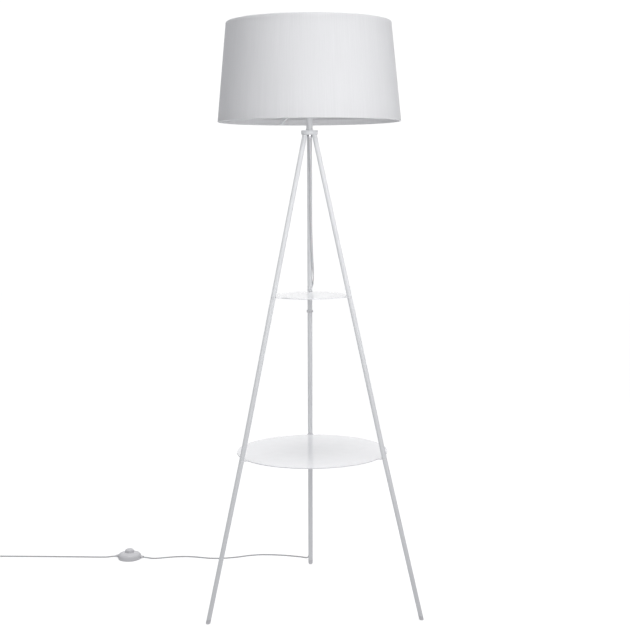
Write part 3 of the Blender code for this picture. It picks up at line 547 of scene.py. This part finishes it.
def shelf_outline(disc_r, tab_centre, tab_r, fillet_r):
    """A disc with three round-ended tabs that reach the legs, as points from the lamp's axis."""
    side = tab_r + fillet_r
    along = math.sqrt((disc_r + fillet_r) ** 2 - side**2)
    start = math.atan2(side, along)
    tab_end = [math.radians(-90.0 + 10.0 * i) for i in range(19)]
    third = [(tab_centre + tab_r * math.cos(t), tab_r * math.sin(t)) for t in tab_end]
    bend = [-math.pi / 2 - (math.pi / 2 - start) * i / 8 for i in range(9)]
    fillet = [(along + fillet_r * math.cos(t), side + fillet_r * math.sin(t)) for t in bend]
    rim = [start + (math.tau / 3 - 2 * start) * i / 64 for i in range(1, 64)]
    third += fillet + [(disc_r * math.cos(t), disc_r * math.sin(t)) for t in rim]
    mirrored = [(x, -y) for x, y in reversed(fillet)]
    points = []
    for k in range(3):
        turn = math.radians(90.0) + math.tau * k / 3
        for spots, angle in ((third, turn), (mirrored, turn + math.tau / 3)):
            cos, sin = math.cos(angle), math.sin(angle)
            points += [(x * cos - y * sin, x * sin + y * cos) for x, y in spots]
    return points


def shelf_plate(name, disc_r, material):
    """A shelf's whole sheet, its edge rounded over by the paint."""
    low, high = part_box(name)
    outline = shelf_outline(disc_r, high.y - AXIS.y - TAB_R, TAB_R, TAB_FILLET_R)
    levels = [
        (PAINT_ROUND_R * (1 - math.sin(t)), low.z + PAINT_ROUND_R * (1 - math.cos(t)))
        for t in EDGE_STEPS
    ]
    levels += [(inset, low.z + high.z - z) for inset, z in reversed(levels)]
    rings = []
    for inset, z in levels:
        ring = []
        for i, (x, y) in enumerate(outline):
            before, after = outline[i - 1], outline[(i + 1) % len(outline)]
            along = Vector((after[0] - before[0], after[1] - before[1])).normalized()
            ring.append(AXIS + Vector((x - along.y * inset, y + along.x * inset, z)))
        rings.append(ring)
    mesh = skinned("fine_" + name, rings, sharp=FLAT_TOP_EDGE)
    return piece("fine_" + name, mesh, material, stands_for=(name,))


def rounded(name, material, width, body="root"):
    """A CAD piece's own shape with its sharp edges rounded, standing in for it."""
    source = nodes[name]
    bm = bmesh.new()
    bm.from_mesh(source.data)
    bm.transform(source.matrix_world)
    bmesh.ops.remove_doubles(bm, verts=bm.verts[:], dist=0.00001)
    bmesh.ops.dissolve_limit(bm, angle_limit=math.radians(1.0), verts=bm.verts[:], edges=bm.edges[:])
    sharp = [e for e in bm.edges if len(e.link_faces) == 2 and e.calc_face_angle() > SHARP_EDGE]
    bmesh.ops.bevel(
        bm, geom=sharp, offset=width, segments=3, profile=0.5, affect="EDGES", clamp_overlap=True
    )
    bmesh.ops.remove_doubles(bm, verts=bm.verts[:], dist=0.000005)
    bmesh.ops.triangulate(bm, faces=[f for f in bm.faces if len(f.verts) > 4])
    mesh = bpy.data.meshes.new("fine_" + name)
    bm.to_mesh(mesh)
    bm.free()
    mesh.shade_smooth()
    mesh.set_sharp_from_angle(angle=math.radians(40.0))
    return piece("fine_" + name, mesh, material, body=body, stands_for=(name,))


# ---- the lead ------------------------------------------------------------------------------------
def flat_section(count=20):
    """Half-round edges joined by flats that dip between the two cores, as (across, up) pairs."""
    half_wide, half_high = LEAD_WIDTH / 2, LEAD_THICK / 2
    points = []
    for i in range(count):
        t = math.tau * i / count
        across = math.copysign(abs(math.cos(t)) ** 0.72, math.cos(t)) * half_wide
        dip = 0.10 * half_high * math.exp(-((across / (0.25 * half_wide)) ** 2))
        up = math.copysign(abs(math.sin(t)) ** 0.85, math.sin(t)) * half_high
        points.append((across, up - math.copysign(dip, up)))
    return points


def flat_lead(name, line, turns):
    """The lead's section swept along a line; turns gives how far it is rolled from lying flat."""
    section = flat_section()
    rings = []
    for i, spot in enumerate(line):
        ahead = (line[min(i + 1, len(line) - 1)] - line[max(i - 1, 0)]).normalized()
        side = ahead.cross(Vector((0.0, 0.0, 1.0))).normalized()
        up = side.cross(ahead).normalized()
        roll = Matrix.Rotation(turns[i], 3, ahead)
        side, up = roll @ side, roll @ up
        rings.append([spot + side * a + up * b for a, b in section])
    return skinned(name, rings)


def path_length(line):
    return sum((b - a).length for a, b in zip(line, line[1:]))


def lower_to_floor(line, turns):
    """Where the lead lies, it comes down until its section rests on the floor, however it is rolled."""
    settled = []
    for p, roll in zip(line, turns):
        half_high = math.hypot(LEAD_THICK / 2 * math.cos(roll), LEAD_WIDTH / 2 * math.sin(roll))
        drop = (LYING_Z - half_high - 0.0001) * max(0.0, 1.0 - (p.z - LYING_Z) / LEAVES_FLOOR)
        settled.append(Vector((p.x, p.y, p.z - drop)))
    return settled


def beside_leg(spot):
    """How far the lead is turned on edge where it slips past the rear leg."""
    return math.exp(-(((spot.z - PAST_LEG_Z) / PAST_LEG_SPAN) ** 2))


def lamp_lead(sheath):
    line = smooth_line([Vector(p) + AXIS for p in LAMP_CORD_ROUTE], 0.004)
    turns = [ON_EDGE * beside_leg(p) for p in line]
    line = lower_to_floor(line, turns)
    mesh = flat_lead("lead_from_lamp", line, turns)
    made = piece("lead_from_lamp", mesh, sheath, stands_for=("cord_lamp",))


def coil_line():
    """The neat coil: two layers of three turns, wound on edge from its outside in and back out."""
    low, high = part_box("cord_coil")
    middle = Vector(((low.x + high.x) / 2, (low.y + high.y) / 2, low.z + LEAD_WIDTH / 2))
    pitch = LEAD_THICK + TURN_GAP
    across, per_turn = 3, 40
    mid_r = (high.x - low.x) / 2 - across * pitch / 2
    spots = []
    for i in range(2 * across * per_turn + 1):
        turn = i / per_turn
        upper = blend_in(turn, across - 0.2, across + 0.2)
        inward = min(turn, 2 * across - turn, across - 0.5) - (across - 1) / 2
        radius = mid_r - pitch * inward
        angle = math.radians(90.0) + math.tau * turn
        offset = Vector((radius * math.cos(angle), radius * math.sin(angle), (LEAD_WIDTH - 0.0002) * upper))
        spots.append(middle + offset)
    return spots


def plug_lead(sheath):
    floor_line = smooth_line([Vector(p) + AXIS for p in PLUG_CORD_ROUTE], 0.004)
    coil = coil_line()
    boot_low, boot_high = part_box("plug_body")
    boot = Vector(((boot_low.x + boot_high.x) / 2, boot_high.y, (boot_low.z + boot_high.z) / 2))
    straight = Vector((0.0, 0.008, 0.0))
    first = len(floor_line) - 14
    joined = floor_line[:-3] + coil[3:] + leave_coil(coil, boot + straight, boot)
    line = evened(smooth_line(joined[:1] + joined[1:-1:2] + joined[-1:], 0.002), 0.0035)
    begins = path_length(floor_line[:first])
    step = path_length(line) / (len(line) - 1)
    turns = [ON_EDGE * blend_in(i * step, begins, begins + 0.05) for i in range(len(line))]
    line = lower_to_floor(line, turns)
    mesh = flat_lead("lead_to_plug", line, turns)
    made = piece("lead_to_plug", mesh, sheath, stands_for=("cord_plug", "cord_coil"))


def leave_coil(coil, above, boot):
    """The last stretch: off the coil's side and down into the plug's boot."""
    centre = sum(coil, Vector()) / len(coil)
    radius = (coil[-1] - centre).length
    angle = math.atan2(coil[-1].y - centre.y, coil[-1].x - centre.x)
    spots = []
    for i in range(1, 5):
        t = angle + math.radians(9.0 * i)
        spots.append(Vector((centre.x + radius * math.cos(t), centre.y + radius * math.sin(t), coil[-1].z)))
    return spots + [above, above.lerp(boot, 0.5), boot]


def blend_in(value, first, last):
    share = min(1.0, max(0.0, (value - first) / (last - first)))
    return share * share * (3.0 - 2.0 * share)


def evened(line, step):
    """The same line with its points about a step apart."""
    spots = np.array([tuple(p) for p in line])
    along = np.concatenate([[0.0], np.cumsum(np.linalg.norm(np.diff(spots, axis=0), axis=1))])
    count = max(2, round(along[-1] / step))
    where = np.linspace(0.0, along[-1], count + 1)
    return [Vector([np.interp(w, along, spots[:, k]) for k in range(3)]) for w in where]


# ---- the shade -----------------------------------------------------------------------------------
def shade_outside(z):
    share = (z - SHADE_LOW_Z) / (SHADE_HIGH_Z - SHADE_LOW_Z)
    return SHADE_BOTTOM_R + (SHADE_TOP_R - SHADE_BOTTOM_R) * share


def shade(textile, liner):
    """The cloth: one sheet over both wire rings, turned in at each edge, and its liner."""
    thick = 0.0005
    hem = 0.013
    wire = 0.0022
    outline = []
    low, high = SHADE_LOW_Z, SHADE_HIGH_Z
    count = 24
    for i in range(count + 1):
        z = low + wire + (high - low - 2 * wire) * i / count
        edges = (z - low - hem, z - high + hem)
        swell = 0.00025 * sum(math.exp(-((away / 0.0012) ** 2)) for away in edges)
        outline.append((shade_outside(z) - swell, z))
    rolled_top = roll_over(high - wire, shade_outside(high), wire, 1.0)
    rolled_low = roll_over(low + wire, shade_outside(low), wire, -1.0)
    inner_top = [(shade_outside(high) - 2 * wire, high - wire - hem * i / 3) for i in range(1, 4)]
    inner_low = [(shade_outside(low + hem) - 2 * wire, low + wire + hem * i / 3) for i in range(1, 4)]
    profile = inner_low[::-1] + rolled_low[::-1] + outline + rolled_top + inner_top
    sides = 360
    rings = [seamed(ring_at(r, z, sides)) for r, z in profile]
    inside = [ring_at(r, z, sides) for r, z in offset_profile(profile, thick)]
    mesh = skinned("shade_cloth", rings + inside[::-1], closed_rows=True, sharp=50.0)
    cloth = piece(
        "shade_cloth", mesh, textile,
        stands_for=("shade_skin", "shade_ring_top", "shade_ring_bottom"),
    )

    wall = 0.0004
    back = 0.0008
    steps = [low + 0.004 + (high - low - 0.008) * i / 12 for i in range(13)]
    outer = [ring_at(shade_outside(z) - back, z, 144) for z in steps]
    inner = [ring_at(shade_outside(z) - back - wall, z, 144) for z in steps]
    lining = skinned("shade_liner", outer + inner[::-1], closed_rows=True, sharp=50.0)
    piece("shade_liner", lining, liner)


def seamed(ring):
    """The ring with the cloth's lapped end standing out a little at the back."""
    moved = []
    for spot in ring:
        outward = Vector((spot.x - AXIS.x, spot.y - AXIS.y, 0.0))
        past = math.degrees(math.atan2(outward.y, outward.x)) - SEAM_ANGLE
        lap = LAP_HEIGHT * blend_in(past, -0.6, 0.0) * (1.0 - blend_in(past, 3.4, 9.0))
        moved.append(spot + outward.normalized() * lap)
    return moved


def roll_over(z, outside, wire, way):
    """The turn of the cloth round a wire, from the outside in."""
    centre = outside - wire
    steps = [math.radians(20.0 * i) for i in range(1, 10)]
    return [(centre + wire * math.cos(t), z + way * wire * math.sin(t)) for t in steps]


def offset_profile(profile, thick):
    """The same outline moved inwards, square to itself, by the cloth's thickness."""
    moved = []
    for i, (r, z) in enumerate(profile):
        before, after = profile[max(i - 1, 0)], profile[min(i + 1, len(profile) - 1)]
        along = Vector((after[0] - before[0], after[1] - before[1])).normalized()
        moved.append((r - along.y * thick, z + along.x * thick))
    return moved


# ---- the whole scene -----------------------------------------------------------------------------
def dress(names, material):
    for name in names:
        mesh = nodes[name].data
        mesh.materials.clear()
        mesh.materials.append(material)


def main():
    camera()
    studio()
    coat, flat_coat = powder_coat(), shelf_coat()
    white = moulded("white_plastic", (0.67, 0.665, 0.68), 0.45)
    dark = moulded("dark_plastic", (0.03, 0.03, 0.032), 0.55)
    zinc = plated("zinc", (0.62, 0.62, 0.63), 0.32)
    brass = plated("contact_brass", (0.78, 0.62, 0.34), 0.30)
    finishes = {
        "painted_steel": coat,
        "zinc_steel": zinc,
        "contact_brass": brass,
        "white_plastic": white,
        "dark_plastic": dark,
        "lead_sheath": lead_sheath(),
        "porcelain": porcelain(),
        "opal_glass": opal_glass(),
    }
    textile = shade_textile("shade_textile", (0.905, 0.905, 0.912), 0.5, 0.32)
    liner = shade_textile("shade_liner", (0.93, 0.93, 0.935), 0.15, 0.60)
    finishes["shade_fabric"] = textile
    for entry in frame["record"]["subparts"]:
        dress([entry["node"]], finishes[entry["material_slot"]])
    shelf_plate("shelf_upper", UPPER_DISC_R, flat_coat)
    shelf_plate("shelf_lower", LOWER_DISC_R, flat_coat)
    for name, width in ROUNDED.items():
        slot = next(e["material_slot"] for e in frame["record"]["subparts"] if e["node"] == name)
        body = "switch_button" if name == "switch_button" else "root"
        rounded(name, finishes[slot], width, body)

    lamp_lead(finishes["lead_sheath"])
    plug_lead(finishes["lead_sheath"])
    shade(textile, liner)


main()
